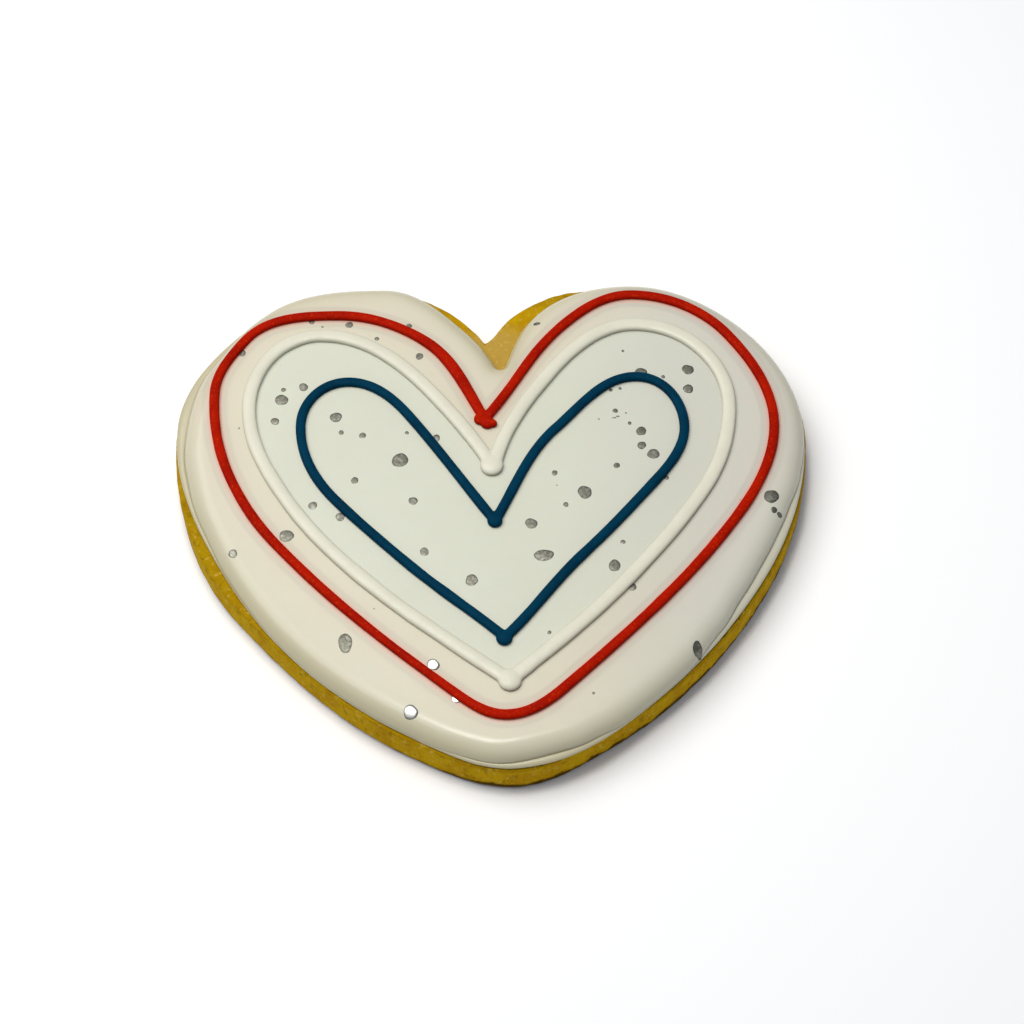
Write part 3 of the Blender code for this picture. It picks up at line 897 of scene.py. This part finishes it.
# x, y, width, depth in millimetres, and how far the disc leans: towards +X and towards +Y
SILVER_DROPS = [
    (-38.2, 27.4, 1.44, 1.44, 0.0, 0.0),
    (-27.7, 33.2, 1.06, 1.06, 0.0, 0.0),
    (-26.0, 32.2, 0.38, 0.38, 0.0, 0.0),
    (-21.9, 32.6, 1.21, 1.21, 0.0, 0.0),
    (-12.7, 32.4, 0.91, 0.91, 0.0, 0.0),
    (-11.0, 26.8, 1.21, 1.21, 0.0, 0.0),
    (-17.6, 30.0, 0.76, 0.76, 0.0, 0.0),
    (-31.4, 20.7, 0.76, 0.76, 0.0, 0.0),
    (-28.4, 21.2, 1.44, 1.44, 0.0, 0.0),
    (-31.6, 18.9, 1.97, 1.97, 0.0, 0.0),
    (-32.4, 15.1, 1.29, 1.29, 0.0, 0.0),
    (-23.3, 15.8, 1.82, 1.82, 0.0, 0.0),
    (-22.4, 13.1, 0.83, 0.83, 0.0, 0.0),
    (-19.2, 12.6, 1.06, 1.06, 0.0, 0.0),
    (-12.6, 13.1, 0.61, 0.61, 0.0, 0.0),
    (-8.2, 12.2, 1.21, 1.21, 0.0, 0.0),
    (-13.5, 8.3, 2.50, 2.44, 0.0, 0.0),
    (-20.1, 4.8, 1.14, 1.14, 0.0, 0.0),
    (-11.4, 1.3, 1.36, 1.36, 0.0, 0.0),
    (-26.1, 0.5, 1.36, 1.36, 0.0, 0.0),
    (-22.0, -1.4, 1.44, 1.44, 0.0, 0.0),
    (-29.7, -4.6, 2.12, 2.12, 0.0, 0.0),
    (-37.3, -7.5, 1.36, 1.36, 0.0, 0.0),
    (-9.6, -7.2, 1.36, 1.36, 0.0, 0.0),
    (-37.7, 13.9, 0.30, 0.30, 0.0, 0.0),
    (6.9, 33.0, 1.06, 0.70, 0.0, 0.0),
    (20.0, 27.8, 0.45, 0.45, 0.0, 0.0),
    (22.7, 23.75, 1.97, 1.97, 0.0, 0.0),
    (26.0, 23.1, 0.61, 0.61, 0.0, 0.0),
    (29.8, 24.4, 1.89, 1.74, 0.0, 0.0),
    (29.7, 20.9, 1.67, 1.57, 0.0, 0.0),
    (18.0, 20.7, 0.61, 0.61, 0.0, 0.0),
    (19.4, 21.0, 0.53, 0.53, 0.0, 0.0),
    (18.6, 17.0, 0.83, 0.83, 0.0, 0.0),
    (18.4, 15.75, 0.62, 0.26, 0.0, 0.0),
    (18.95, 16.0, 0.62, 0.26, 0.0, 0.0),
    (20.2, 16.6, 0.30, 0.30, 0.0, 0.0),
    (16.1, 15.5, 0.30, 0.30, 0.0, 0.0),
    (20.7, 14.8, 0.61, 0.61, 0.0, 0.0),
    (22.4, 13.4, 1.59, 1.59, 0.0, 0.0),
    (22.4, 10.9, 1.36, 1.36, 0.0, 0.0),
    (24.1, 9.4, 1.82, 1.82, 0.0, 0.0),
    (25.9, 5.3, 0.76, 0.76, 0.0, 0.0),
    (18.6, 7.4, 0.98, 0.98, 0.0, 0.0),
    (9.4, 6.1, 0.91, 0.91, 0.0, 0.0),
    (13.8, 2.8, 2.12, 2.26, 0.0, 0.0),
    (9.7, 4.0, 0.23, 0.23, 0.0, 0.0),
    (11.0, 0.7, 0.83, 0.83, 0.0, 0.0),
    (41.2, 2.1, 2.27, 2.26, 0.0, 0.0),
    (41.5, -0.1, 0.95, 1.0, 0.0, 0.0),
    (42.3, -0.65, 0.8, 0.85, 0.0, 0.0),
    (5.9, -2.5, 1.82, 1.82, 0.0, 0.0),
    (7.7, -7.8, 3.03, 1.92, 0.0, 0.0),
    (19.2, -5.6, 0.76, 0.76, 0.0, 0.0),
    (36.6, 1.5, 0.23, 0.23, 0.0, 0.0),
    (-20.5, -22.0, 1.97, 3.31, 0.0, 0.0),
    (-8.0, -25.4, 1.82, 1.82, 0.13, 0.15),
    (-4.7, -30.7, 1.36, 1.36, 0.13, 0.15),
    (-11.0, -32.7, 2.12, 2.12, 0.10, 0.05),
    (-2.7, -11.9, 1.89, 1.89, 0.0, 0.0),
    (-16.6, -16.5, 0.23, 0.23, 0.0, 0.0),
    (17.9, -9.5, 1.82, 1.92, 0.0, 0.0),
    (20.4, -13.0, 1.21, 1.21, 0.0, 0.0),
    (8.4, -20.3, 0.61, 0.61, 0.0, 0.0),
    (29.4, -22.6, 1.5, 2.2, 0.0, 0.0),
    (14.5, -29.8, 0.45, 0.45, 0.0, 0.0),
]


def silver_disc(number, x, y, width, depth, lean_x, lean_y):
    """One dried drop: a thin dome on the icing's surface, over a sunk flat bottom.

    Its outline is an ellipse with three small waves on it. Towards its edge it falls to the
    icing as one minus the cube of the distance from the middle. Inside the edge its skin
    leans by lean_x and lean_y, and is lifted so far that no side sinks in."""
    angle = np.linspace(0, 2 * np.pi, DROP_SIDES + 1)[:-1]
    dice = np.random.default_rng(400 + number)
    phase = dice.uniform(0, 2 * np.pi, 3)
    wave = 1 + 0.05 * np.sin(2 * angle + phase[0]) + 0.035 * np.sin(3 * angle + phase[1])
    wave = wave + 0.02 * np.sin(5 * angle + phase[2])
    out = np.array(DROP_RINGS)[:, None]
    flat = np.zeros((len(DROP_RINGS), DROP_SIDES, 2))
    flat[..., 0] = x + width / 2 * wave * out * np.cos(angle)
    flat[..., 1] = y + depth / 2 * wave * out * np.sin(angle)
    thick = 0.015 + 0.012 * min(width, 2.0)
    lift = np.hypot(lean_x, lean_y) * width / 2
    leaning = (flat[..., 0] - x) * lean_x + (flat[..., 1] - y) * lean_y + lift
    rise = thick * (1 - out**3) + leaning * (1 - out**8)
    level = icing_level(flat.reshape(-1, 2)).reshape(flat.shape[:2]) + rise
    level[0] -= DROP_SINK
    top = np.concatenate([flat, level[..., None]], axis=2)
    bottom = top[0] - (0, 0, DROP_FOOT)
    middle = icing_level(np.array([[x, y]]))[0]
    peak = middle + thick + lift
    return np.concatenate([bottom[None], top]), (x, y, middle - 0.1), (x, y, peak)


discs = [
    skin_over("silver", *silver_disc(number, *drop))
    for number, drop in enumerate(SILVER_DROPS)
]
silver = joined(discs)
silver.name = "silver_drops"

rim = np.append(np.repeat(RIM_SHARES, DROP_SIDES), [1, 0])
give(silver, "rim", np.tile(rim, len(SILVER_DROPS)))

painted_reflection = [1.0 if lean_x + lean_y > 0 else 0.0 for *_, lean_x, lean_y in SILVER_DROPS]
give(silver, "painted_reflection", np.repeat(painted_reflection, len(rim)))

paint = recipe("silver_paint", {"Metallic": 0.85, "Roughness": 0.42})
crinkle = between(paint, grain(paint, 0.6, 3.0, 0.6), 0.46, 0.66)
spots = between(paint, grain(paint, 0.35, 2.0), 0.56, 0.68, 0.0, 0.5)
# Painted reflection: the leaning drops are tinted towards a bright silver that stands in for the lamp's
# reflection.
clear = sized(paint, "MULTIPLY", stored(paint, "painted_reflection"), 0.85)
broken = between(paint, grain(paint, 0.8, 2.0), 0.35, 0.6, 0.35, 0.8)
mottle = tinted(paint, crinkle, SILVER_DARK, SILVER_PALE)
mottle = tinted(paint, spots, mottle, SILVER_SPOTS)
mottle = tinted(paint, clear, mottle, SILVER_PAINTED_REFLECTION)
mottle = tinted(paint, sized(paint, "MULTIPLY", stored(paint, "rim"), broken), mottle, SILVER_RIM)
colour_with(paint, mottle)
rough_with(paint, between(paint, grain(paint, 0.4), 0.3, 0.7, 0.34, 0.48))
relief_with(paint, grain(paint, 0.5, 3.0, 0.6), 0.015)
coat(silver, paint)
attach(silver, "root")


# The table: a wide sheet of white paper. Two soft lamps hang over the cookie, the larger one a
# little to the left, a weak one stands behind, and a white room gives light from all round.
TABLE_HALF = 1.6
PAPER_WHITE = (0.985, 0.99, 1.0, 1)
LAMP_COLOUR = (1.0, 0.985, 0.955)
ROOM_COLOUR = (0.95, 0.985, 1.05, 1)
ROOM_LIGHT = 0.31

# Name, place in metres, size and power of each lamp
LAMPS = [
    ("key_lamp", (-0.02, 0.02, 0.33), (0.09, 0.06), 0.32),
    ("soft_lamp", (-0.25, 0.12, 0.54), (0.46, 0.40), 2.36),
    ("back_lamp", (0.0, 0.25, 0.30), (0.20, 0.14), 0.03),
]

corners = [(-TABLE_HALF, -TABLE_HALF, 0), (TABLE_HALF, -TABLE_HALF, 0)]
corners += [(TABLE_HALF, TABLE_HALF, 0), (-TABLE_HALF, TABLE_HALF, 0)]
mesh = bpy.data.meshes.new("table")
mesh.from_pydata(corners, [], [(0, 1, 2, 3)])
table = bpy.data.objects.new("table", mesh)
bpy.context.scene.collection.objects.link(table)
paper = recipe("white_paper", {
    "Base Color": PAPER_WHITE,
    "Roughness": 0.8,
    "Specular IOR Level": 0.2,
})
table.data.materials.append(paper)

for name, place, size, energy in LAMPS:
    lamp = bpy.data.lights.new(name, "AREA")
    lamp.shape = "RECTANGLE"
    lamp.size, lamp.size_y = size
    lamp.energy = energy
    lamp.color = LAMP_COLOUR
    lamp_stand = bpy.data.objects.new(name, lamp)
    lamp_stand.location = place
    lamp_stand.rotation_euler = Vector(place).to_track_quat("Z", "Y").to_euler()
    bpy.context.scene.collection.objects.link(lamp_stand)

room = bpy.data.worlds.new("room")
room.use_nodes = True
walls = room.node_tree.nodes["Background"]
walls.inputs["Color"].default_value = ROOM_COLOUR
walls.inputs["Strength"].default_value = ROOM_LIGHT
bpy.context.scene.world = room
bpy.context.scene.view_settings.view_transform = "Standard"


# The camera looks down at the heart from the tip's side, 60 degrees above the table. It stands
# 340 mm from the cookie, and its tilt is measured from straight down.
SENSOR_WIDTH = 36.0
LENS_LENGTH = 79.33
CAMERA_PLACE = (0.0031, -0.1656, 0.29445)
CAMERA_TILT = 30.0

lens = bpy.data.cameras.new("camera")
lens.sensor_width = SENSOR_WIDTH
lens.lens = LENS_LENGTH
lens.clip_start = 0.01
camera = bpy.data.objects.new("camera", lens)
camera.location = CAMERA_PLACE
camera.rotation_euler = (np.radians(CAMERA_TILT), 0, 0)
bpy.context.scene.collection.objects.link(camera)
bpy.context.scene.camera = camera
